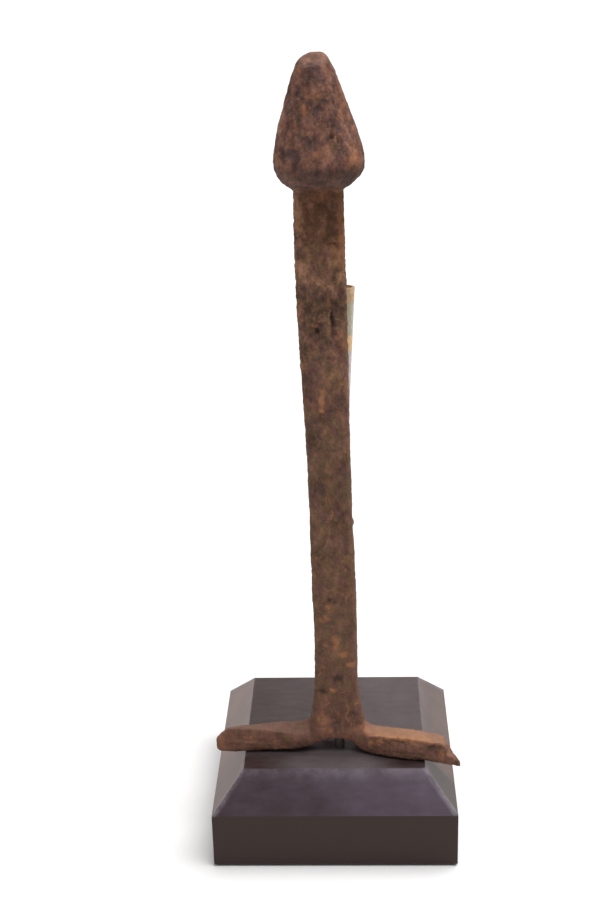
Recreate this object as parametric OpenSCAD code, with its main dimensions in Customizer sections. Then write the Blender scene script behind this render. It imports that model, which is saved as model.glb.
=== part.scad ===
// Forged iron rail spike with a split, splayed point, shown standing on a bevelled display block.
// A brass rod in clear sleeves stands behind the shank, and a locating pin in the block holds the foot.
// Origin: the middle of the stand's underside. +Z is up, -Y is the front, +X is the viewer's right.

/* [Block] */
// Width and depth of the square block
block_w = 76.2; // [70:0.1:90]
// Height of the deck above the table, with the felt
deck_z = 29.3; // [26:0.1:36]
// Height of the upright sides above the table
side_z = 18.5; // [16:0.1:20]
// Width of the bevel round the deck, seen from above
bevel_w = 9.7; // [5:0.1:12]

/* [Felt] */
// Thickness of the felt under the block
felt_t = 0.8; // [0.5:0.1:1.5]
// Distance from the block's sides to the felt's edge
felt_inset = 1.2; // [0.5:0.1:3]

/* [Support rod] */
// Diameter of the brass rod
rod_d = 3.18; // [3:0.01:3.4]
// Height of the top collar's rim above the deck
rod_top = 148; // [120:0.5:150]
// Lean of the rod towards the viewer's right, in degrees
rod_lean = 3.1; // [2:0.1:3.5]
// Place of the rod's foot, left and right of the middle
rod_x = -2.1; // [-3:0.1:-1]
// Place of the rod's foot, in front of or behind the middle
rod_y = -3.8; // [-3.8:0.1:0]
// Outer diameter of the sleeves and collars
sleeve_d = 4.76; // [4.4:0.01:4.8]
// Length of the short upper sleeve
upper_sleeve_len = 9.9; // [8:0.1:14]
// Length of the brass collar at the rod's end
upper_collar_len = 4.3; // [4:0.1:6]
// Length of the brass collar between the sleeves
lower_collar_len = 4.9; // [4:0.1:6]

/* [Locating pin] */
// Diameter of the pin
pin_d = 3.2; // [3:0.1:3.6]
// Length of the pin above the deck
pin_up = 22; // [16:0.5:26]
// Place of the pin, left and right of the middle
pin_x = 1.6; // [1:0.1:2]
// Place of the pin, in front of or behind the middle
pin_y = -15; // [-15.2:0.1:-14.6]

/* [Spike] */
// Gap between the spike's feet and the deck
foot_gap = 0.3; // [0.3:0.05:0.6]
// Radial clearance of the pin in its hole in the spike
pin_clearance = 0.1; // [0.05:0.01:0.2]

/* [Hidden] */
$fn = 48;

// Fasteners under the block: M3 washers and nuts in counterbores
thread_d = 3;
washer_d = 7;
washer_t = 0.5;
nut_flats = 5.5;
nut_h = 2.4;
nut_chamfer = 0.35;
counterbore_d = 10;
counterbore_depth = 8;
hole_clearance = 0.06;
thread_past_nut = 1;
// How far cutting solids pass the faces that they cut
past = 1;

block_bottom = felt_t;
washer_z = block_bottom + counterbore_depth - washer_t;
nut_z = washer_z - nut_h;
thread_bottom = nut_z - thread_past_nut;

// The rod's foot is a little thicker than the rod, to drive into the block
foot_d = rod_d + 0.12;
foot_overlap = 0.8;
// Stretches of the rod, measured along it from the deck
rim_recess = 0.25;
lower_sleeve_start = 0.6;
seam = 0.02;
rod_len = rod_top / cos(rod_lean);
upper_collar_s = rod_len - upper_collar_len;
upper_sleeve_s = upper_collar_s - upper_sleeve_len;
lower_collar_s = upper_sleeve_s - lower_collar_len;

// Sections of the shank and head, from the crotch up:
// height above the deck, left, right, front, back, corner radius
SHANK = [
    [4.2, -7.2, 10, -19.4, -10.4, 1.6],
    [9, -7.4, 9.5, -19.5, -10.4, 1.8],
    [13, -6.9, 8.8, -19.5, -10.3, 1.9],
    [19, -6.3, 7.9, -19.5, -10, 1.9],
    [27, -5.7, 7.6, -19.6, -9.6, 1.8],
    [44, -5.5, 7.5, -19.8, -8.4, 1.8],
    [65, -6, 7.1, -19.9, -7.4, 2],
    [90, -6.2, 6.4, -20, -6.9, 2],
    [112, -6.9, 6.1, -20, -6.6, 2],
    [130, -7.7, 6, -20.1, -6.5, 2.2],
    [147, -8.3, 5.8, -20, -6.5, 2],
    [162, -8.5, 5.5, -20, -6.6, 2],
    [178.6, -8.4, 5.4, -19.8, -6.8, 2.4]
];
// The underside curls out from the shank, and the sides lean in to a blunt, skewed top
HEAD = [
    [179.3, -9.2, 6.4, -21, -6.2, 4],
    [181, -11.6, 8.8, -23, -5, 6],
    [184.6, -13.5, 11.4, -24.5, -4.4, 6.4],
    [189, -13.3, 11, -24.5, -4.6, 6.2],
    [196, -12.1, 8.9, -23.7, -5.3, 6],
    [204, -9.7, 5.8, -22.4, -6.6, 5],
    [210, -7.8, 3.6, -21.1, -8, 4],
    [213.2, -6.1, 2.1, -19.7, -9.2, 3],
    [214.7, -3.6, 1, -17.8, -11.2, 1.8],
    [215.1, -2.4, 0.2, -16.6, -12.4, 1.2]
];
// Sections of the legs, from inside the shank out to the tip:
// place left or right, front, back, underside, top of the front, corner radius,
// rise of the top towards the back
LEFT_LEG = [
    [3, -18.9, -10.8, 4.2, 10.5, 1.6, 0],
    [-1.2, -19.2, -10.6, 4.1, 8.6, 1.6, 0.2],
    [-4.6, -19.3, -10.6, 3, 6.6, 1.3, 0.36],
    [-8.2, -19.3, -11, 1.5, 5.8, 1, 0.3],
    [-13, -19.3, -12, 0.7, 6.8, 0.8, 0.1],
    [-19.5, -19.2, -13.4, 0.2, 7.9, 0.7, -0.06],
    [-26.5, -19.1, -14.6, 0, 8.6, 0.7, -0.28],
    [-33, -19.1, -15.2, -0.2, 8.6, 0.7, -0.48],
    [-35, -19, -15.3, -0.3, 7.6, 0.7, -0.4],
    [-36.4, -18.9, -15.5, -0.3, 5.6, 0.8, -0.25],
    [-37.6, -18.6, -15.9, 0.5, 4, 0.9, 0]
];
RIGHT_LEG = [
    [0, -18.9, -10.8, 4.2, 10.5, 1.6, 0],
    [4.4, -19.3, -10.6, 3.6, 10.2, 1.6, 0],
    [7.8, -19.9, -11, 1.2, 8.6, 1.4, -0.04],
    [10.8, -20.8, -12, 0.1, 7.6, 1, -0.1],
    [14.4, -22.2, -13.4, 0, 7.5, 0.8, -0.14],
    [19, -23.4, -15, 0, 7.7, 0.7, -0.15],
    [25, -24.5, -16.8, 0, 7.7, 0.7, -0.13],
    [31, -25.7, -18.8, 0, 7.2, 0.7, -0.08],
    [34.2, -26.3, -19.6, -0.2, 6.9, 0.7, -0.14],
    [35.5, -26.5, -20.3, -0.3, 4.9, 0.7, -0.1],
    [36.3, -26.6, -21.4, -0.4, 3.4, 0.7, -0.1],
    [37.8, -26.9, -23.6, -0.6, 1.6, 0.7, -0.1],
    [39.3, -27.1, -25.2, -0.7, 0.2, 0.35, 0]
];
// Sections drawn between two rows of a table, and sides in each rounded corner
STEPS = 2;
CORNER_STEPS = 4;

// One row of a table, held at the table's ends
function row(table, i) = table[max(0, min(len(table) - 1, i))];

// A smooth curve through the rows b and c, with a and d on either side
function curve(a, b, c, d, t) =
    0.5 * (2 * b + (c - a) * t + (2 * a - 5 * b + 4 * c - d) * t * t
    + (3 * b - a - 3 * c + d) * t * t * t);

function smooth_rows(table) = [
    for (k = [0 : (len(table) - 1) * STEPS])
        let (i = floor(k / STEPS), t = k / STEPS - i)
            curve(row(table, i - 1), row(table, i), row(table, i + 1), row(table, i + 2), t)
];

// A rectangle from (a0, b0) to (a1, b1) with round corners, as points in order
function round_rectangle(a0, a1, b0, b1, r) = [
    for (corner = [0 : 3])
        let (
            a = corner == 0 || corner == 3 ? a1 - r : a0 + r,
            b = corner < 2 ? b1 - r : b0 + r
        )
            for (i = [0 : CORNER_STEPS])
                let (angle = 90 * (corner + i / CORNER_STEPS))
                    [a + r * cos(angle), b + r * sin(angle)]
];

function level_ring(s) = [
    for (p = round_rectangle(s[1], s[2], s[3], s[4], s[5])) [p[0], p[1], s[0]]
];
function upright_ring(s) = [
    for (p = round_rectangle(s[1], s[2], s[3], s[4], s[5]))
        let (raised = s[6] * (p[0] - s[1]) * (p[1] - s[3]) / (s[4] - s[3]))
            [s[0], p[0], p[1] + raised]
];

// A solid through a list of rings that run anticlockwise seen from the far end
module loft(rings) {
    n = len(rings[0]);
    last = len(rings) - 1;
    walls = [
        for (k = [0 : last - 1])
            for (i = [0 : n - 1])
                let (a = k * n + i, b = k * n + (i + 1) % n)
                    for (face = [[a, a + n, b], [b, a + n, b + n]]) face
    ];
    near_cap = [for (i = [0 : n - 1]) i];
    far_cap = [for (i = [n - 1 : -1 : 0]) last * n + i];
    polyhedron(
        points = [for (ring = rings) for (p = ring) p],
        faces = concat([near_cap], walls, [far_cap])
    );
}

// The shank and head are one loft, so that the shoulder under the head is part of its surface
module shank_and_head() {
    loft([for (s = concat(smooth_rows(SHANK), smooth_rows(HEAD))) level_ring(s)]);
}

module right_leg() {
    loft([for (s = smooth_rows(RIGHT_LEG)) upright_ring(s)]);
}

// The rings of the left leg run outwards to -X, so their order is turned round
module left_leg() {
    rows = smooth_rows(LEFT_LEG);
    loft([for (i = [len(rows) - 1 : -1 : 0]) upright_ring(rows[i])]);
}

// One forging: the head, the shank and the two halves of the split point, bent outwards
module forged_spike() {
    color("#674c41")
        translate([0, 0, deck_z + foot_gap])
            difference() {
                union() {
                    shank_and_head();
                    left_leg();
                    right_leg();
                }
                translate([pin_x, pin_y, 0])
                    cylinder(d = pin_d + 2 * pin_clearance, h = pin_up + past);
            }
}

// Side view of the block: upright sides under a sloping bevel
module block_profile() {
    half = block_w / 2;
    top = half - bevel_w;
    polygon([
        [-half, block_bottom], [half, block_bottom], [half, side_z],
        [top, deck_z], [-top, deck_z], [-half, side_z]
    ]);
}

module block_profile_bar() {
    rotate([90, 0, 0])
        translate([0, 0, -block_w])
            linear_extrude(height = 2 * block_w) block_profile();
}

// A through hole with a counterbore for a washer and nut
module fastener_hole(x, y, d) {
    translate([x, y, 0]) {
        cylinder(d = d + 2 * hole_clearance, h = deck_z + past);
        cylinder(d = counterbore_d, h = block_bottom + counterbore_depth);
    }
}

// Black lacquered wood, bevelled on all four sides
module base_block() {
    color("#45393b")
        difference() {
            intersection() {
                block_profile_bar();
                rotate([0, 0, 90]) block_profile_bar();
            }
            fastener_hole(rod_x, rod_y, foot_d);
            fastener_hole(pin_x, pin_y, pin_d);
        }
}

module felt_pad() {
    felt_w = block_w - 2 * felt_inset;
    color("#1c1a1c")
        translate([-felt_w / 2, -felt_w / 2, 0]) cube([felt_w, felt_w, felt_t]);
}

// Moves its children to the deck and leans them with the rod
module along_rod(s) {
    translate([rod_x, rod_y, deck_z])
        rotate([0, rod_lean, 0])
            translate([0, 0, s]) children();
}

// The foot stands upright in the block and is threaded below; above the deck the rod leans
// with the back of the shank
module support_rod() {
    color("#b08d57") {
        along_rod(-foot_overlap)
            cylinder(d = rod_d, h = rod_len - rim_recess + foot_overlap);
        translate([rod_x, rod_y, washer_z + washer_t])
            cylinder(d = foot_d, h = deck_z - washer_z - washer_t);
        translate([rod_x, rod_y, thread_bottom])
            cylinder(d = thread_d, h = deck_z - thread_bottom);
    }
}

// A length of tube round the rod
module rod_tube(start, end) {
    along_rod(start)
        difference() {
            cylinder(d = sleeve_d, h = end - start);
            translate([0, 0, -past])
                cylinder(d = rod_d + 2 * hole_clearance, h = end - start + 2 * past);
        }
}

module upper_collar() {
    color("#ab8d6f") rod_tube(upper_collar_s + seam, rod_len);
}

module upper_sleeve() {
    color("#9e977f", 0.8) rod_tube(upper_sleeve_s + seam, upper_collar_s);
}

module lower_collar() {
    color("#c9ab86") rod_tube(lower_collar_s + seam, upper_sleeve_s);
}

module lower_sleeve() {
    color("#b4aaa1", 0.6) rod_tube(lower_sleeve_start, lower_collar_s);
}

module washer_at(x, y) {
    translate([x, y, washer_z])
        difference() {
            cylinder(d = washer_d, h = washer_t);
            translate([0, 0, -past])
                cylinder(d = thread_d + 2 * hole_clearance, h = washer_t + 2 * past);
        }
}

// A hexagon nut, turned to a cone at both faces
module nut_at(x, y) {
    across_corners = nut_flats / cos(30);
    translate([x, y, nut_z])
        difference() {
            intersection() {
                cylinder(d = across_corners, h = nut_h, $fn = 6);
                rotate_extrude()
                    polygon([
                        [0, 0], [nut_flats / 2, 0],
                        [across_corners / 2, nut_chamfer],
                        [across_corners / 2, nut_h - nut_chamfer],
                        [nut_flats / 2, nut_h], [0, nut_h]
                    ]);
            }
            translate([0, 0, -past])
                cylinder(d = thread_d + 2 * hole_clearance, h = nut_h + 2 * past);
        }
}

module rod_washer() {
    color("silver") washer_at(rod_x, rod_y);
}

module rod_nut() {
    color("silver") nut_at(rod_x, rod_y);
}

// Blackened steel: a round-ended dowel above the deck, threaded under the block
module locating_pin() {
    color("#2a2626")
        translate([pin_x, pin_y, 0]) {
            translate([0, 0, washer_z + washer_t])
                cylinder(d = pin_d, h = deck_z + pin_up - pin_d / 2 - washer_z - washer_t);
            translate([0, 0, deck_z + pin_up - pin_d / 2]) sphere(d = pin_d);
            translate([0, 0, thread_bottom])
                cylinder(d = thread_d, h = deck_z - thread_bottom);
        }
}

module pin_washer() {
    color("silver") washer_at(pin_x, pin_y);
}

module pin_nut() {
    color("silver") nut_at(pin_x, pin_y);
}

forged_spike();
base_block();
felt_pad();
support_rod();
upper_collar();
upper_sleeve();
lower_collar();
lower_sleeve();
rod_washer();
rod_nut();
locating_pin();
pin_washer();
pin_nut();
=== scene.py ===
"""A forged iron rail spike with a splayed point, standing on a bevelled black display block."""
import math

import bpy
import numpy as np
from mathutils import Matrix, Vector, noise


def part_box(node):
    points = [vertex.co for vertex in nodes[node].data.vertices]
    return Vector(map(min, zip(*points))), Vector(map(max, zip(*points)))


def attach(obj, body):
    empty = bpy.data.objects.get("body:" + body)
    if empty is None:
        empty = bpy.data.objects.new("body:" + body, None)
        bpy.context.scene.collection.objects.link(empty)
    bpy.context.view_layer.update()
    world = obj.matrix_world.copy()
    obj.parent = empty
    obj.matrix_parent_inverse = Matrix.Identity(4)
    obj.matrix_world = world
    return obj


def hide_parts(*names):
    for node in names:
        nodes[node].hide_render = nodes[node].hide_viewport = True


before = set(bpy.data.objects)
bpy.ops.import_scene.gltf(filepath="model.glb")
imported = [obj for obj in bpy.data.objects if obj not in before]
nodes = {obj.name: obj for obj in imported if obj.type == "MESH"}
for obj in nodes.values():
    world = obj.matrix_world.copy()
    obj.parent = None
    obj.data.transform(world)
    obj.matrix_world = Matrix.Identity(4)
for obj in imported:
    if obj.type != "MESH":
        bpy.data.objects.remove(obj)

MM = 0.001
# Without a seed, noise_vector takes its offsets from the clock and differs from run to run
noise.seed_set(7)
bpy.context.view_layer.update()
# The deck is the block's flat top: heights on the spike are counted from it
deck_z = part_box("base_block")[1].z
# The middle and the radius of the locating pin, in millimetres
pin_low, pin_high = (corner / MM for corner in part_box("locating_pin"))
pin = (pin_low + pin_high) / 2
pin_radius = (pin_high.x - pin_low.x) / 2


# ---------------------------------------------------------------- materials: helpers

def srgb(r, g, b):
    """The linear colour of an 8-bit sRGB one."""
    def linear(c):
        c /= 255
        return c / 12.92 if c <= 0.04045 else ((c + 0.055) / 1.055) ** 2.4
    return (linear(r), linear(g), linear(b), 1.0)


def plug(tree, socket, value):
    """Sets a socket to a value, or links another node's socket to it."""
    if isinstance(value, bpy.types.NodeSocket):
        tree.links.new(value, socket)
    else:
        socket.default_value = value


def add(tree, kind, inputs=None, **settings):
    """A shader node with its settings and its inputs."""
    made = tree.nodes.new("ShaderNode" + kind)
    for name, value in settings.items():
        setattr(made, name, value)
    for name, value in (inputs or {}).items():
        plug(tree, made.inputs[name], value)
    return made


def surface(name, **values):
    """A new node material: (material, tree, its Principled shader)."""
    material = bpy.data.materials.new(name)
    material.use_nodes = True
    tree = material.node_tree
    shader = tree.nodes["Principled BSDF"]
    for key, value in values.items():
        shader.inputs[key.replace("_", " ")].default_value = value
    return material, tree, shader


def place(tree, stretch=(1, 1, 1), shift=0.0):
    """Object coordinates in millimetres, squeezed by stretch along each axis."""
    coords = add(tree, "TexCoord").outputs["Object"]
    return add(tree, "Mapping", {
        "Vector": coords, "Scale": Vector(stretch) / MM, "Location": (shift, shift, shift),
    }).outputs["Vector"]


def blotches(tree, coords, size, detail, roughness, distortion=0.0):
    """Noise from 0 to 1 with features about size millimetres across."""
    return add(tree, "TexNoise", {
        "Vector": coords, "Scale": 1 / size, "Detail": detail,
        "Roughness": roughness, "Distortion": distortion,
    }).outputs["Fac"]


def level(tree, value, low, high, to_low=0.0, to_high=1.0):
    """Maps low..high smoothly to to_low..to_high."""
    return add(tree, "MapRange", {
        "Value": value, "From Min": low, "From Max": high, "To Min": to_low, "To Max": to_high,
    }, interpolation_type="SMOOTHSTEP").outputs["Result"]


def blend(tree, factor, a, b):
    """The colour a where factor is 0, b where it is 1, and a mixture in between."""
    mix = add(tree, "Mix", data_type="RGBA")
    for index, value in ((0, factor), (6, a), (7, b)):
        plug(tree, mix.inputs[index], value)
    return mix.outputs[2]


def calc(tree, how, a, b=0.0, c=0.0):
    """One step of arithmetic."""
    made = add(tree, "Math", operation=how)
    for socket, value in zip(made.inputs, (a, b, c)):
        plug(tree, socket, value)
    return made.outputs[0]


def times(tree, *factors):
    """The product of two or more factors."""
    result = factors[0]
    for factor in factors[1:]:
        result = calc(tree, "MULTIPLY", result, factor)
    return result


def total(tree, terms):
    """The sum of weight * (value - 0.5) over (value, weight) terms."""
    result = -0.5 * sum(weight for _, weight in terms)
    for value, weight in terms:
        result = calc(tree, "MULTIPLY_ADD", value, weight, result)
    return result


def ramp(tree, value, stops):
    """Colours at their places from 0 to 1."""
    made = add(tree, "ValToRGB", {"Fac": value})
    elements = made.color_ramp.elements
    while len(elements) < len(stops):
        elements.new(0.5)
    for element, (position, colour) in zip(elements, stops):
        element.position = position
        element.color = colour
    return made.outputs["Color"]


def attribute(tree, name):
    """A number that the mesh carries at each of its points."""
    return add(tree, "Attribute", attribute_name=name).outputs["Fac"]


def axes_of(tree, vector):
    """The three parts of a vector, by their names X, Y and Z."""
    return add(tree, "SeparateXYZ", {"Vector": vector}).outputs


def facing_of(tree):
    """The parts of the direction that the surface faces."""
    return axes_of(tree, add(tree, "NewGeometry").outputs["Normal"])


def bump(tree, shader, height, distance, strength):
    """Makes the shading follow a height, as fine relief."""
    made = add(tree, "Bump", {"Height": height, "Distance": distance, "Strength": strength})
    tree.links.new(made.outputs["Normal"], shader.inputs["Normal"])


# ---------------------------------------------------------------- the spike's shape

VOXEL = 0.3 * MM
# Smoothing passes that even out the voxels' steps, and those that melt the legs' joins
SMOOTH_PASSES = 4
MELT_PASSES = 160
# The joins lie below this height above the deck, in mm
FOOT_TOP = 16
# The pin's hole ends below HOLE_TOP above the deck. Its wall lies within HOLE_RING of the pin,
# and the relief fades in over HOLE_FADE outside that ring, in mm
HOLE_TOP = 26
HOLE_RING = 0.3
HOLE_FADE = 0.6
# How far joins and marks reach, and stains, where 1 is the edge of their ellipse
REACH = 1.3
STAIN_REACH = 1.4
# How round the edges of the hammered flats are, in mm
FLAT_SOFTNESS = 0.35

# Where the legs run into the shank, and the crotch between them: centre and half sizes in mm
JOINS = [
    ((-8.0, -17, 7.5), (5.5, 8, 5.5)),
    ((10.5, -17, 8.5), (5.5, 8, 5.5)),
    ((1.5, -20, 4.5), (8.0, 3.5, 3.0)),
]

# Hammered flats, each a point on it (x, y, height above the deck) and its outward direction,
# and the lowest height that it reaches, in millimetres
FLATS = [
    # The head's right front corner
    ((3.6, -23.1, 199), (0.72, -0.66, 0.31), 183),
    # The head's left front corner, a narrower one
    ((-9.6, -21.9, 197), (-0.70, -0.68, 0.26), 186),
    # The front of the head's top
    ((-1.0, -20.5, 212.1), (-0.05, -0.46, 0.89), 209),
    # The end of the right leg, above its toe
    ((34.5, -26.4, 5.0), (0.95, -0.29, 0.09), 2.6),
]

# Dents, pits and lumps: centre (x, y, height), half sizes along x, y and height, and depth.
# A negative depth stands proud.
MARKS = [
    # The slit in the shank, with its wider foot, and the hollows left of it
    ((1.6, -20, 142.6), (0.45, 3, 2.9), 1.0),
    ((2.4, -20, 139.0), (1.1, 3, 1.4), 0.5),
    ((-2.6, -20, 139.4), (0.7, 3, 0.8), 0.6),
    ((-5.2, -20, 145.0), (1.2, 3, 2.6), 0.35),
    # Under the head
    ((1.9, -20, 164.4), (1.5, 3, 0.6), 0.45),
    ((2.6, -20, 160.6), (0.6, 3, 1.3), 0.35),
    ((-6.2, -19, 165.6), (0.9, 3, 0.8), -0.35),
    # Along the shank
    ((-7.0, -15, 108.7), (0.8, 4, 1.2), 0.45),
    ((-5.0, -20, 105.5), (1.5, 3, 2.0), 0.25),
    ((6.8, -15, 78.0), (1.0, 2, 0.9), -0.4),
    ((-1.0, -20, 98.5), (0.8, 3, 0.8), -0.3),
    ((0.6, -20, 55.3), (1.2, 3, 1.1), -0.4),
    ((-0.8, -20, 54.2), (0.6, 3, 0.9), 0.45),
    ((1.0, -20, 53.4), (0.8, 3, 0.5), 0.45),
    ((1.6, -20, 27.0), (1.5, 3, 1.8), 0.4),
    ((-3.4, -20, 22.4), (1.8, 3, 0.9), 0.35),
    ((-0.1, -20, 22.6), (1.0, 3, 0.7), -0.25),
    # The front of the head
    ((2.5, -24, 194.3), (0.9, 3, 1.1), 0.35),
    ((4.3, -24, 192.3), (1.1, 3, 1.3), 0.35),
    ((-3.2, -24, 193.1), (1.0, 3, 1.1), 0.25),
    ((-3.7, -22, 207.2), (1.3, 3, 0.8), 0.3),
    ((-8.0, -23, 204.2), (0.6, 3, 0.9), 0.2),
    ((-1.1, -24, 189.7), (0.9, 3, 0.7), -0.3),
    ((-4.8, -23, 201.0), (0.5, 3, 1.6), -0.25),
    # The dent in the right leg's top, the groove under its arris, and a ledge lower down
    ((30.2, -22.6, 7.2), (1.7, 1.6, 1.6), 0.35),
    ((20.0, -23.7, 6.6), (6.5, 1.6, 0.4), 0.3),
    ((31.0, -25.9, 5.6), (3.0, 1.6, 1.1), 0.4),
    ((24.0, -24.6, 2.5), (9.0, 1.6, 0.5), 0.3),
    # A fold on the left leg's top
    ((-12.5, -16, 7.4), (2.5, 2.2, 1.2), 0.25),
]

# Rust colours: centre (x, height) on the front, half sizes, and strength. Above 0 it is
# orange, and below 0 it is black scale.
STAINS = [
    # The head
    ((-4.6, 200.6), (0.8, 2.4), 0.5),
    ((-1.1, 189.7), (1.4, 1.6), 0.45),
    ((-2.0, 205.0), (3.4, 0.6), 0.35),
    ((2.5, 194.3), (1.4, 1.6), -0.9),
    ((4.3, 192.3), (1.5, 1.9), -0.8),
    ((-3.2, 193.1), (2.2, 1.7), -0.55),
    ((-3.7, 207.2), (1.8, 1.6), -0.6),
    ((-10.0, 190.5), (2.4, 2.2), -0.55),
    ((-6.0, 198.6), (1.4, 2.2), -0.4),
    # These two orange stains on the head's right facet are partly rust and partly painted light on
    # the facet
    ((8.6, 188.5), (1.8, 4.0), 0.45),
    ((5.4, 204.5), (1.6, 5.0), 0.3),
    # The shank from the head down
    # Below, the black patch at height 173.8 is partly a painted shadow of the head, and the orange
    # strips at x 4.9 and -7.6 are partly painted side light on the shank's edges
    ((-0.4, 173.8), (3.0, 3.6), -0.35),
    ((-0.9, 177.4), (2.4, 1.4), 0.4),
    ((4.9, 167.5), (1.1, 11.0), 1.0),
    ((-7.6, 172.0), (1.1, 6.5), 0.3),
    ((2.6, 162.0), (1.2, 3.4), 0.3),
    ((-5.2, 145.4), (1.7, 3.2), -0.75),
    ((1.9, 141.2), (1.0, 3.2), -0.7),
    ((-2.6, 139.4), (0.9, 1.0), -0.9),
    ((4.6, 136.2), (1.4, 2.8), 0.4),
    ((2.5, 146.0), (2.2, 3.0), -0.3),
    ((-1.7, 118.8), (0.9, 3.6), 0.6),
    ((-1.6, 115.2), (0.9, 0.7), 0.9),
    ((-4.8, 106.3), (1.9, 2.6), -0.6),
    ((-3.6, 91.5), (2.4, 1.6), -0.5),
    ((3.5, 94.0), (1.6, 2.8), -0.3),
    ((4.5, 70.0), (1.6, 5.0), -0.3),
    ((-1.4, 51.6), (1.1, 1.1), 0.8),
    ((-2.6, 47.8), (1.7, 1.1), 0.6),
    ((0.4, 55.0), (1.8, 1.7), -0.45),
    ((1.0, 39.8), (1.1, 2.8), 0.7),
    ((3.6, 35.2), (2.4, 1.3), 0.6),
    ((5.6, 31.7), (1.3, 1.0), 0.7),
    ((-2.6, 38.0), (2.8, 3.6), -0.5),
    ((4.3, 42.5), (1.8, 3.2), -0.3),
    ((1.6, 26.6), (1.9, 2.2), -0.9),
    ((-3.4, 22.3), (2.3, 1.1), -0.8),
    ((-0.1, 22.6), (1.1, 0.8), 0.9),
    ((-3.6, 12.5), (1.8, 3.2), 0.4),
    ((2.0, 9.5), (3.0, 3.6), -0.6),
    ((-2.0, 8.6), (1.6, 1.8), 0.6),
    # The legs
    ((10.6, 8.6), (2.0, 2.2), 0.6),
    ((14.2, 5.6), (1.3, 1.6), 0.8),
    ((11.4, 4.4), (1.0, 1.4), 0.6),
    ((22.0, 8.8), (14.0, 2.0), 0.9),
    ((31.2, 5.4), (3.2, 1.5), -0.55),
    ((20.5, 6.4), (6.5, 0.6), -0.6),
    ((21.0, 0.8), (15.0, 1.2), -0.5),
    ((33.6, 4.4), (0.9, 3.0), 0.5),
    ((38.4, 0.6), (1.6, 1.6), -0.8),
    ((26.0, 8.8), (1.6, 1.2), -0.6),
    ((-35.9, 3.4), (1.4, 3.0), 0.35),
    ((-22.0, 0.8), (15.0, 1.1), -0.4),
    ((-11.0, 3.0), (4.0, 1.6), -0.4),
]


def ease(value):
    """0 below 0, 1 above 1, and smooth in between."""
    value = min(1.0, max(0.0, value))
    return value * value * (3 - 2 * value)


def applied(shape):
    """The mesh that an object's modifiers make. The object goes away."""
    evaluated = shape.evaluated_get(bpy.context.evaluated_depsgraph_get())
    result = bpy.data.meshes.new_from_object(evaluated)
    bpy.data.objects.remove(shape)
    return result


def remeshed(source):
    """The even voxel mesh of a closed mesh, smoothed, as a new mesh."""
    shape = bpy.data.objects.new("remesh", source)
    bpy.context.collection.objects.link(shape)
    voxels = shape.modifiers.new("voxels", "REMESH")
    voxels.mode = "VOXEL"
    voxels.voxel_size = VOXEL
    smooth = shape.modifiers.new("smooth", "SMOOTH")
    smooth.iterations = SMOOTH_PASSES
    return applied(shape)


def distance_from(p, centre, half):
    """How far p is from centre, where 1 is the surface of an ellipsoid with those half sizes."""
    return math.sqrt(sum(((a - b) / h) ** 2 for a, b, h in zip(p, centre, half)))


def above_deck(place):
    """A place in the scene as millimetres, with its height counted from the deck."""
    return (place - Vector((0, 0, deck_z))) / MM


def from_pin_wall(p):
    """0 on the wall of the pin's hole, and 1 a little way off it."""
    if p.z > HOLE_TOP:
        return 1.0
    outside = math.hypot(p.x - pin.x, p.y - pin.y) - pin_radius - HOLE_RING
    return ease(outside / HOLE_FADE)


def melted(source):
    """The mesh with the legs' joins smoothed into the shank, as a new mesh."""
    shape = bpy.data.objects.new("melt", source)
    bpy.context.collection.objects.link(shape)
    joins = shape.vertex_groups.new(name="joins")
    for vertex in source.vertices:
        p = above_deck(vertex.co)
        if p.z < FOOT_TOP:
            near = max(ease((REACH - distance_from(p, *join)) / 0.8) for join in JOINS)
            if near > 0:
                joins.add([vertex.index], near * from_pin_wall(p), "REPLACE")
    smooth = shape.modifiers.new("smooth", "SMOOTH")
    smooth.iterations = MELT_PASSES
    smooth.vertex_group = "joins"
    return applied(shape)


def on_leg(p):
    """1 on the splayed legs and 0 on the shank."""
    return ease((10 - p.z) / 3) * ease((abs(p.x - 1) - 8) / 3)


def flattened(p):
    """p moved back onto each hammered flat that it stands out from."""
    for point, direction, lowest in FLATS:
        outward = Vector(direction).normalized()
        stands_out = (p - Vector(point)).dot(outward)
        if stands_out > 0 and p.z > lowest:
            pushed = stands_out ** 2 / (stands_out + FLAT_SOFTNESS)
            p = p - outward * pushed * ease((p.z - lowest) / 1.2)
    return p


def forging_relief(p, leg):
    """How far the iron's surface lies outside its plain shape at p, in mm: (relief, pit depth)."""
    # Hammered unevenness, drawn out along the shank or the leg
    along = Vector((p.x * (0.13 - 0.06 * leg), p.y * 0.16, p.z * (0.07 + 0.08 * leg)))
    relief = 0.26 * noise.noise(along) + 0.14 * noise.noise(p * 0.27 + Vector((7, 3, 9)))
    # Rust scale in flakes and grains
    flakes = noise.fractal(p * 0.6, 0.9, 2.1, 3)
    neck = ease((p.z - 105) / 30) * ease((182 - p.z) / 8)
    relief += (0.13 + 0.15 * neck) * flakes
    relief += 0.08 * noise.noise(p * 2.1)
    # The iron's fibres, opened by rust on the splayed legs
    fibres = Vector((p.x * 0.07, p.y * 1.0, p.z * 0.9 + 0.03 * p.x))
    relief += leg * 0.22 * noise.noise(fibres)
    # Pits, where a broad noise lets them in
    near, _ = noise.voronoi(p * 0.5)
    patch = ease(noise.noise(p * 0.11 + Vector((3, 1, 4))) * 1.8 + 0.45)
    pit = 0.3 * patch * ease(1 - near[0] / 0.4)
    return relief, pit


def warped(p):
    """p moved a little by noise, so that what is drawn round it gets a ragged outline."""
    return p + 0.55 * noise.noise_vector(p * 0.45) + 0.3 * noise.noise_vector(p * 1.3)


def marks_at(p):
    """How deep the marks are at p, in mm."""
    depth = 0.0
    for centre, half, deep in MARKS:
        away = distance_from(p, centre, half)
        if away < REACH:
            depth += deep * ease((REACH - away) / 0.9)
    return depth


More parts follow.
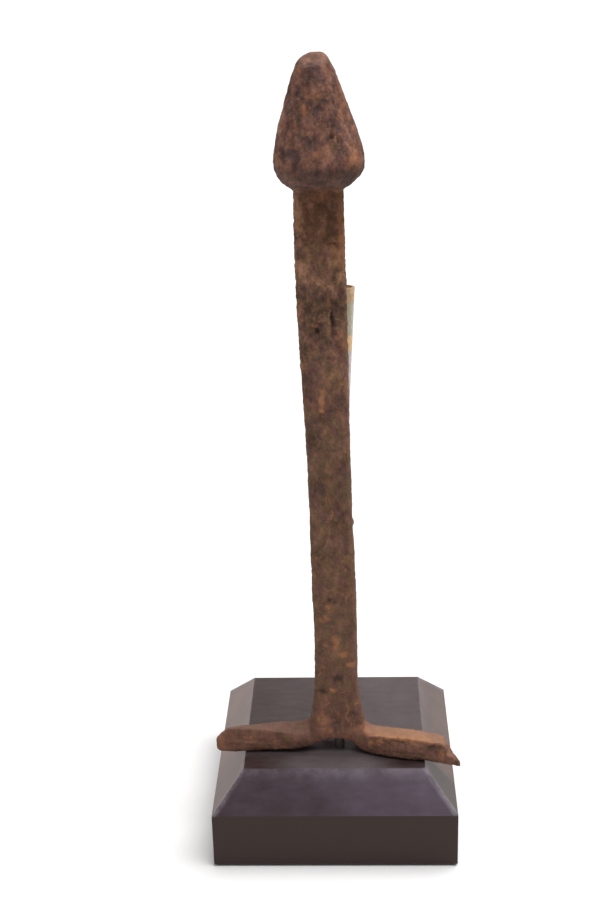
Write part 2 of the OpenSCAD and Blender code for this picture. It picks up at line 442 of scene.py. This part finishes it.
def stain_at(p):
    """The rust colour at p: (orange, black), each from 0 up."""
    orange = black = 0.0
    for centre, half, strength in STAINS:
        away = math.hypot((p.x - centre[0]) / half[0], (p.z - centre[1]) / half[1])
        if away < STAIN_REACH:
            amount = strength * ease((STAIN_REACH - away) / 1.1)
            orange = max(orange, amount)
            black = max(black, -amount)
    return orange, black


def forged_iron():
    """The spike: the CAD forging with its hammer flats, rust scale, pits and split fibres."""
    mesh = melted(remeshed(nodes["forged_spike"].data))
    low, high = (np.array(corner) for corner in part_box("forged_spike"))
    count = len(mesh.vertices)
    places = np.empty((count, 3))
    fields = {name: np.zeros(count) for name in ("hollow", "orange", "black")}
    for i, vertex in enumerate(mesh.vertices):
        n = vertex.normal
        p = flattened(above_deck(vertex.co))
        relief, pit = forging_relief(p, on_leg(p))
        ragged = warped(p)
        depth = pit + marks_at(ragged)
        # The wall of the pin's hole stays smooth
        keep = from_pin_wall(p)
        places[i] = (p + n * (relief - depth) * keep) * MM + Vector((0, 0, deck_z))
        fields["hollow"][i] = depth * keep
        # The stains are on the front, and fade round the sides
        front = ease((-n.y + 0.35) / 0.6)
        orange, black = stain_at(ragged)
        fields["orange"][i] = orange * front
        fields["black"][i] = black * front
    # The relief stays inside the box of the CAD forging
    places = np.clip(places, low, high)
    mesh.vertices.foreach_set("co", places.ravel())
    for name, values in fields.items():
        mesh.attributes.new(name, "FLOAT", "POINT").data.foreach_set("value", values)
    mesh.polygons.foreach_set("use_smooth", [True] * len(mesh.polygons))
    mesh.materials.clear()
    mesh.materials.append(rusted_iron())
    spike = bpy.data.objects.new("spike_iron", mesh)
    bpy.context.collection.objects.link(spike)
    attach(spike, "spike")
    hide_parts("forged_spike")


def height_between(tree, up, low, high):
    """0 at the height low above the deck and 1 at the height high, in mm."""
    return level(tree, up, deck_z / MM + low, deck_z / MM + high)


def brown_rust(tree, tone, family):
    """Brown from dark to pale with tone, and from olive to purple with family."""
    olive = ramp(tree, tone, [
        (0.12, srgb(58, 43, 33)), (0.34, srgb(82, 62, 48)), (0.52, srgb(101, 77, 58)),
        (0.70, srgb(124, 93, 68)), (0.90, srgb(150, 114, 86)),
    ])
    purple = ramp(tree, tone, [
        (0.12, srgb(56, 41, 38)), (0.34, srgb(82, 59, 52)), (0.52, srgb(104, 74, 63)),
        (0.70, srgb(128, 90, 74)), (0.90, srgb(156, 114, 96)),
    ])
    return blend(tree, family, olive, purple)


def specked(tree, head, colour):
    """The colour with blue-grey scale and red flecks, most of them on the head."""
    slate = blotches(tree, place(tree, (1, 1, 0.8), 60.0), 4.5, 3.0, 0.6, 0.4)
    slate = times(tree, level(tree, slate, 0.48, 0.68, 0.0, 0.5),
                  calc(tree, "MULTIPLY_ADD", head, 0.65, 0.35))
    colour = blend(tree, slate, colour, srgb(74, 60, 66))
    flecks = blotches(tree, place(tree, (1, 1, 0.8), 75.0), 1.6, 3.0, 0.6, 0.3)
    flecks = times(tree, level(tree, flecks, 0.52, 0.72, 0.0, 0.42),
                   calc(tree, "MULTIPLY_ADD", head, 0.6, 0.4))
    return blend(tree, flecks, colour, srgb(146, 84, 60))


def stained(tree, grain, colour):
    """The colour with loose orange rust, black scale and dark pits, where the mesh says."""
    loose = blotches(tree, place(tree, (1, 1, 0.8), 90.0), 2.4, 4.0, 0.65, 0.6)
    own = level(tree, loose, 0.58, 0.74, 0.0, 0.55)
    wanted = times(tree, attribute(tree, "orange"), level(tree, grain, 0.3, 0.56, 0.35, 1.0))
    colour = blend(tree, calc(tree, "MAXIMUM", own, wanted), colour, srgb(162, 109, 73))
    scale = times(tree, attribute(tree, "black"), level(tree, grain, 0.66, 0.4, 0.3, 0.85))
    colour = blend(tree, scale, colour, srgb(52, 39, 34))
    pits = level(tree, attribute(tree, "hollow"), 0.12, 0.7, 0.0, 0.55)
    return blend(tree, pits, colour, srgb(44, 34, 30))


def painted_under_head_shade(tree, across, up, colour):
    """Painted shade: the colour darkened on the head's lower flanks, where they turn under, and a
    painted shadow of the head on the neck but for its left side.
    """
    flanks = times(tree, height_between(tree, up, 187.5, 184), height_between(tree, up, 179, 180.5))
    colour = blend(tree, times(tree, flanks, 0.6), colour, srgb(58, 46, 42))
    neck = times(tree, height_between(tree, up, 181, 179.5), height_between(tree, up, 150, 173),
                 level(tree, across, -7.4, -5.0))
    return blend(tree, times(tree, neck, 0.62), colour, srgb(64, 34, 14))


def dusted_and_sheened(tree, across, up, colour):
    """The colour paler on what faces up, partly dust and partly painted sheen from the overhead
    light, and paler still on the right leg.
    """
    # Upward faces are lightened: partly dust, partly painted top light and sheen
    dust_and_sheen = level(tree, facing_of(tree)["Z"], 0.45, 0.95, 0.0, 0.26)
    on_right_leg = level(tree, across, 8, 14)
    dust_and_sheen_colour = blend(tree, on_right_leg, srgb(118, 98, 92), srgb(192, 148, 116))
    above_toes = height_between(tree, up, 2.5, 5)
    return blend(tree, times(tree, dust_and_sheen, above_toes), colour, dust_and_sheen_colour)


def rusted_iron():
    """Old wrought iron: brown rust with darker scale, and orange where it is loose."""
    material, tree, shader = surface("rusted_iron", Metallic=0.0, Specular_IOR_Level=0.2)
    coords = place(tree)
    drawn = place(tree, (1, 1, 0.7))
    fine = blotches(tree, coords, 0.7, 3.0, 0.7)
    grain = blotches(tree, drawn, 1.7, 3.0, 0.6, 0.3)
    patch = blotches(tree, drawn, 4.2, 4.0, 0.55, 0.5)
    broad = blotches(tree, drawn, 14.0, 2.0, 0.5)
    axes = axes_of(tree, coords)
    across, up = axes["X"], axes["Z"]
    head = height_between(tree, up, 172, 186)
    foot = height_between(tree, up, 26, 8)
    legs = height_between(tree, up, 10.5, 8.5)
    # The scale is coarsest on the neck and head, and the foot is the smoothest
    gain = calc(tree, "ADD", level(tree, up, deck_z / MM, deck_z / MM + 130, 0.52, 0.9),
                times(tree, height_between(tree, up, 118, 150), 0.5))
    uneven = total(tree, [(fine, 0.5), (grain, 0.75), (patch, 0.8), (broad, 0.6)])
    # The head and the legs are a little paler than the shank
    plain = calc(tree, "MULTIPLY_ADD", head, 0.1, calc(tree, "MULTIPLY_ADD", legs, 0.07, 0.5))
    tone = calc(tree, "MULTIPLY_ADD", uneven, gain, plain)
    # The head and the foot are redder than the shank
    hue = blotches(tree, place(tree, (1, 1, 0.8), 40.0), 3.2, 3.0, 0.6)
    redder = calc(tree, "MULTIPLY_ADD", head, 0.16, times(tree, foot, 0.12))
    family = level(tree, calc(tree, "ADD", hue, redder), 0.42, 0.64)

    colour = brown_rust(tree, tone, family)
    colour = specked(tree, head, colour)
    colour = stained(tree, grain, colour)
    # Painted shade under the head, and a painted shadow of the head on the neck
    colour = painted_under_head_shade(tree, across, up, colour)
    # Dust and painted sheen on the upward faces
    colour = dusted_and_sheened(tree, across, up, colour)
    tree.links.new(colour, shader.inputs["Base Color"])
    tree.links.new(level(tree, tone, 0.2, 0.8, 0.95, 0.78), shader.inputs["Roughness"])
    bump(tree, shader, total(tree, [(fine, 0.8), (grain, 0.6)]), 0.28 * MM, 0.8)
    return material


# ---------------------------------------------------------------- the stand's finishes

def finish_block():
    """Rounded arrises on the CAD block, and its lacquer."""
    block = nodes["base_block"]
    block.data.materials.clear()
    block.data.materials.append(black_lacquer())
    # Square edges are rounder than the bevels' edges
    for name, width, least_angle in (("corners", 1.6, 80), ("arrises", 0.5, 35)):
        rounding = block.modifiers.new(name, "BEVEL")
        rounding.width = width * MM
        rounding.segments = 3
        rounding.limit_method = "ANGLE"
        rounding.angle_limit = math.radians(least_angle)
        rounding.use_clamp_overlap = False
        rounding.harden_normals = True


def bevel_edges():
    """The bevels' edges in mm: (the deck's half width, the height of the sides' top)."""
    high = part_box("base_block")[1] / MM
    corners = [vertex.co / MM for vertex in nodes["base_block"].data.vertices]
    half_deck = max(corner.x for corner in corners if corner.z > high.z - 0.1)
    side_top = max(corner.z for corner in corners if corner.x > high.x - 0.1)
    return half_deck, side_top


def smears(tree):
    """Uneven haze about 0, and the scuffs in it: (haze, scuffs)."""
    cloud = blotches(tree, place(tree, (1, 0.7, 1)), 19.0, 2.0, 0.5, 0.2)
    smear = blotches(tree, place(tree, (0.4, 1, 1)), 3.2, 4.0, 0.65)
    scuffs = blotches(tree, place(tree, (1, 1, 1), 25.0), 6.0, 4.0, 0.6)
    streaks = blotches(tree, place(tree, (0.35, 1, 1), 55.0), 1.6, 3.0, 0.7)
    uneven = total(tree, [(cloud, 0.28), (smear, 0.22), (scuffs, 0.12), (streaks, 0.14)])
    return uneven, scuffs


def haze_and_painted_light(tree, axes, facing, uneven):
    """How pale the lacquer is from place to place, on the faces that look up: partly haze, partly
    painted reflection and painted light.
    """
    half_deck, side_top = bevel_edges()
    across = calc(tree, "ABSOLUTE", axes["X"])
    # The deck and the side bevels are paler than the front and back bevels: partly haze, partly
    # painted reflection
    endways = level(tree, calc(tree, "ABSOLUTE", facing["Y"]), 0.2, 0.6)
    amount = calc(tree, "ADD", level(tree, endways, 0, 1, 0.26, 0.22), uneven)
    # Painted light: the left bevel is paler than the right one, which is darkened
    leftward = level(tree, facing["X"], -0.2, -0.6, 0.0, 0.12)
    rightward = level(tree, facing["X"], 0.2, 0.6, 0.0, -0.24)
    amount = calc(tree, "ADD", amount, calc(tree, "ADD", leftward, rightward))
    # The front and back bevels are darker towards their foot
    low_down = level(tree, axes["Z"], deck_z / MM, side_top, 0.0, -0.08)
    amount = calc(tree, "MULTIPLY_ADD", endways, low_down, amount)
    # Painted reflection: in front of the feet the deck is dark at both ends, mirroring the legs,
    # and pale in the middle
    before = level(tree, axes["Y"], -19.5, -22.5)
    before_only = calc(tree, "SUBTRACT", before, endways)
    middle = level(tree, across, 24, 8, -0.15, 0.13)
    amount = calc(tree, "MULTIPLY_ADD", before_only, middle, amount)
    # Painted light: everywhere else it grows paler towards the right
    elsewhere = calc(tree, "MINIMUM", calc(tree, "SUBTRACT", 1.0, before_only), 1.0)
    right = level(tree, axes["X"], -half_deck, half_deck, -0.03, 0.17)
    amount = calc(tree, "MULTIPLY_ADD", elsewhere, right, amount)
    # Painted light: the deck between the spike's feet, in the shade under the crotch, is made paler
    between = times(tree, level(tree, across, 10, 6), level(tree, axes["Y"], -20.5, -18.5),
                    level(tree, axes["Y"], -8, -10))
    amount = calc(tree, "MULTIPLY_ADD", between, 0.16, amount)
    # Only faces that look up are paled, partly haze and partly painted reflection of the light
    # overhead
    upward = level(tree, facing["Z"], 0.1, 0.6)
    return times(tree, calc(tree, "MAXIMUM", amount, 0.02), upward)


def haze_and_reflection_tint(tree, facing):
    """The colour of the haze and painted reflection, set by the way each face turns: grey on the
    deck, violet on the end bevels and a warm brown on the side ones.
    """
    endways = level(tree, calc(tree, "ABSOLUTE", facing["Y"]), 0.2, 0.6)
    sideways = level(tree, calc(tree, "ABSOLUTE", facing["X"]), 0.2, 0.6)
    tint = blend(tree, endways, srgb(122, 113, 116), srgb(112, 103, 122))
    return blend(tree, sideways, tint, srgb(136, 98, 86))


def worn_edges(tree, axes, scuffs):
    """How far the lacquer is rubbed pale along the bevels' top edges and where two bevels meet."""
    half_deck, side_top = bevel_edges()
    across, along = (calc(tree, "ABSOLUTE", axes[name]) for name in "XY")
    outward = calc(tree, "MAXIMUM", across, along)
    on_bevel = times(tree, level(tree, outward, half_deck - 0.6, half_deck + 0.4),
                     level(tree, axes["Z"], side_top - 0.6, side_top + 0.4))
    hip = level(tree, calc(tree, "ABSOLUTE", calc(tree, "SUBTRACT", across, along)), 2.2, 0.1)
    rim = level(tree, outward, half_deck + 3.4, half_deck, 0.0, 0.42)
    rub = level(tree, scuffs, 0.36, 0.64, 0.25, 1.0)
    return times(tree, calc(tree, "MAXIMUM", hip, rim), rub, on_bevel, 0.5)


def black_lacquer():
    """Satin black lacquer, pale on the upward faces with haze and painted reflection, and rubbed
    pale along the bevels' edges.
    """
    material, tree, shader = surface("black_lacquer", Specular_IOR_Level=0.36)
    shader.inputs["Specular Tint"].default_value = (1.0, 0.86, 0.82, 1.0)
    axes = axes_of(tree, place(tree))
    facing = facing_of(tree)
    uneven, scuffs = smears(tree)
    haze_and_painted_light_amount = haze_and_painted_light(tree, axes, facing, uneven)
    colour = blend(tree, haze_and_painted_light_amount, srgb(38, 24, 21), haze_and_reflection_tint(tree, facing))
    worn = worn_edges(tree, axes, scuffs)
    colour = blend(tree, worn, colour, srgb(152, 144, 152))
    tree.links.new(colour, shader.inputs["Base Color"])
    tree.links.new(calc(tree, "MULTIPLY_ADD", worn, 0.2, 0.3), shader.inputs["Roughness"])
    return material


def metal(name, colour, tarnish, roughness, metallic=1.0):
    """Dull metal with a slightly uneven finish and patches of tarnish."""
    material, tree, shader = surface(name, Metallic=metallic)
    coords = place(tree)
    grain = blotches(tree, coords, 1.5, 4.0, 0.6)
    paint = blend(tree, level(tree, grain, 0.4, 0.7, 0, 0.8), colour, tarnish)
    tree.links.new(paint, shader.inputs["Base Color"])
    rough = level(tree, grain, 0.3, 0.7, roughness - 0.08, roughness + 0.1)
    tree.links.new(rough, shader.inputs["Roughness"])
    bump(tree, shader, blotches(tree, coords, 0.4, 2.0, 0.5), 0.02 * MM, 0.4)
    return material


def vinyl(name, colour, cloud, clearness):
    """Soft plastic tube, a little cloudy with age."""
    material, tree, shader = surface(name, IOR=1.5, Transmission_Weight=clearness)
    amount = level(tree, blotches(tree, place(tree, (1, 1, 0.4)), 1.6, 3.0, 0.6), 0.35, 0.7)
    paint = blend(tree, amount, colour, cloud)
    # Painted highlight: the right side is paler, as if lit
    painted_highlight = level(tree, facing_of(tree)["X"], 0.35, 0.95, 0.0, 0.6)
    paint = blend(tree, painted_highlight, paint, srgb(206, 196, 196))
    tree.links.new(paint, shader.inputs["Base Color"])
    tree.links.new(level(tree, amount, 0, 1, 0.24, 0.4), shader.inputs["Roughness"])
    return material


def felt():
    """Short black nap."""
    material, tree, shader = surface("black_felt", Roughness=0.95, Sheen_Weight=0.3)
    nap = blotches(tree, place(tree), 0.5, 4.0, 0.8)
    tree.links.new(blend(tree, nap, srgb(16, 15, 16), srgb(44, 42, 44)),
                   shader.inputs["Base Color"])
    bump(tree, shader, nap, 0.3 * MM, 0.8)
    return material


def finish_stand():
    """Gives every CAD piece of the stand its material."""
    finish_block()
    zinc = metal("zinc_plate", srgb(190, 190, 196), srgb(160, 158, 156), 0.32)
    finishes = {
        "support_rod": metal("dull_brass", srgb(178, 146, 98), srgb(140, 106, 66), 0.42),
        "upper_collar": metal("cream_brass", srgb(198, 168, 134), srgb(172, 138, 104), 0.5, 0.3),
        "lower_collar": metal("ochre_brass", srgb(216, 182, 138), srgb(190, 150, 106), 0.5, 0.3),
        "upper_sleeve": vinyl("aged_vinyl", srgb(190, 182, 146), srgb(208, 198, 178), 0.3),
        "lower_sleeve": vinyl("clear_vinyl", srgb(190, 178, 168), srgb(212, 202, 196), 0.2),
        "felt_pad": felt(),
        "rod_washer": zinc,
        "rod_nut": zinc,
        "pin_washer": zinc,
        "pin_nut": zinc,
        # The pin's steel is paler than blackened steel, painted light in the shade under the crotch
        "locating_pin": metal("blackened_steel", srgb(84, 76, 72), srgb(70, 60, 54), 0.6, 0.2),
    }
    for name, material in finishes.items():
        piece = nodes[name]
        piece.data.materials.clear()
        piece.data.materials.append(material)


# ---------------------------------------------------------------- floor, light and camera

FLOOR_SIZE = 24


def stage():
    """A plain pale floor."""
    bpy.ops.mesh.primitive_plane_add(size=FLOOR_SIZE, location=(0, 0, 0))
    floor = bpy.context.object
    floor.name = "floor"
    material, _, shader = surface("pale_floor", Roughness=0.9, Specular_IOR_Level=0.1)
    shader.inputs["Base Color"].default_value = (0.8, 0.8, 0.8, 1.0)
    floor.data.materials.append(material)


def light():
    """Plain soft studio light: a broad lamp overhead, and walls brighter behind and left."""
    world = bpy.data.worlds.new("studio")
    bpy.context.scene.world = world
    world.use_nodes = True
    tree = world.node_tree
    axes = axes_of(tree, add(tree, "TexCoord").outputs["Generated"])
    background = tree.nodes["Background"]
    background.inputs["Color"].default_value = (1.0, 0.955, 0.94, 1.0)
    depthways = level(tree, axes["Y"], -1, 1, 0.34, 0.42)
    sideways = level(tree, axes["X"], -1, 1, 1.12, 0.72)
    plug(tree, background.inputs["Strength"], times(tree, depthways, sideways))
    lamp = bpy.data.lights.new("key", "SUN")
    lamp.energy = 3.75
    lamp.angle = math.radians(55)
    key = bpy.data.objects.new("key", lamp)
    key.rotation_euler = Vector((0.28, 0.0, 1)).to_track_quat("Z", "Y").to_euler()
    bpy.context.collection.objects.link(key)


def camera():
    """A look down at the block from in front, from a little above the spike's head."""
    yaw, pitch, roll = (math.radians(angle) for angle in (-2.418, -20.808, -1.582))
    data = bpy.data.cameras.new("camera")
    data.sensor_width = 36
    data.lens = 58.01
    eye = bpy.data.objects.new("camera", data)
    turn = (Matrix.Rotation(-yaw, 4, "Z") @ Matrix.Rotation(math.pi / 2 + pitch, 4, "X")
            @ Matrix.Rotation(roll, 4, "Z"))
    eye.matrix_world = Matrix.Translation(Vector((8.41, -416.19, 283.35)) * MM) @ turn
    bpy.context.collection.objects.link(eye)
    bpy.context.scene.camera = eye


bpy.context.scene.view_settings.view_transform = "Standard"
forged_iron()
finish_stand()
stage()
light()
camera()
